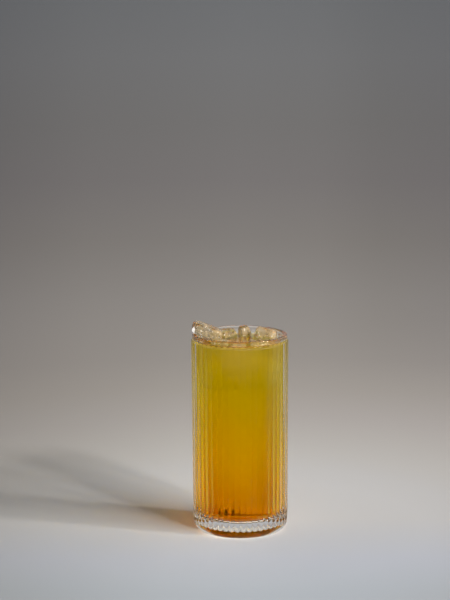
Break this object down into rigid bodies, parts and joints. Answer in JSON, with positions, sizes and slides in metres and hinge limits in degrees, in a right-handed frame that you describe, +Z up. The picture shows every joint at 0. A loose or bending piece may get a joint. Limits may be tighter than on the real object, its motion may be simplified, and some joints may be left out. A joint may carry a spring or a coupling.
{
  "type": "iced tea in a ribbed glass",
  "caption": "Tall straight ribbed highball glass with a thick hollowed foot, filled almost to the brim with mango iced tea and rounded blocks of ice.",
  "frame": {"origin": "centre of the ring that the glass stands on", "axes": "+Z up along the axis of the glass, -Y towards the viewer of the picture, +X to the viewer's right"},
  "size_m": [0.0682, 0.068, 0.1488],
  "materials": {
    "clear_glass": "clear, smooth, ribbed outside",
    "mango_tea": "clear tea, golden yellow above and orange below",
    "ice": "clear melting ice"
  },
  "bodies": {
    "root": {"glass": "clear_glass", "drink": "mango_tea", "ice_left_slab": "ice", "ice_back_left": "ice", "ice_back_right": "ice", "ice_right": "ice", "ice_front_left": "ice", "ice_front_right": "ice"}
  },
  "joints": []
}
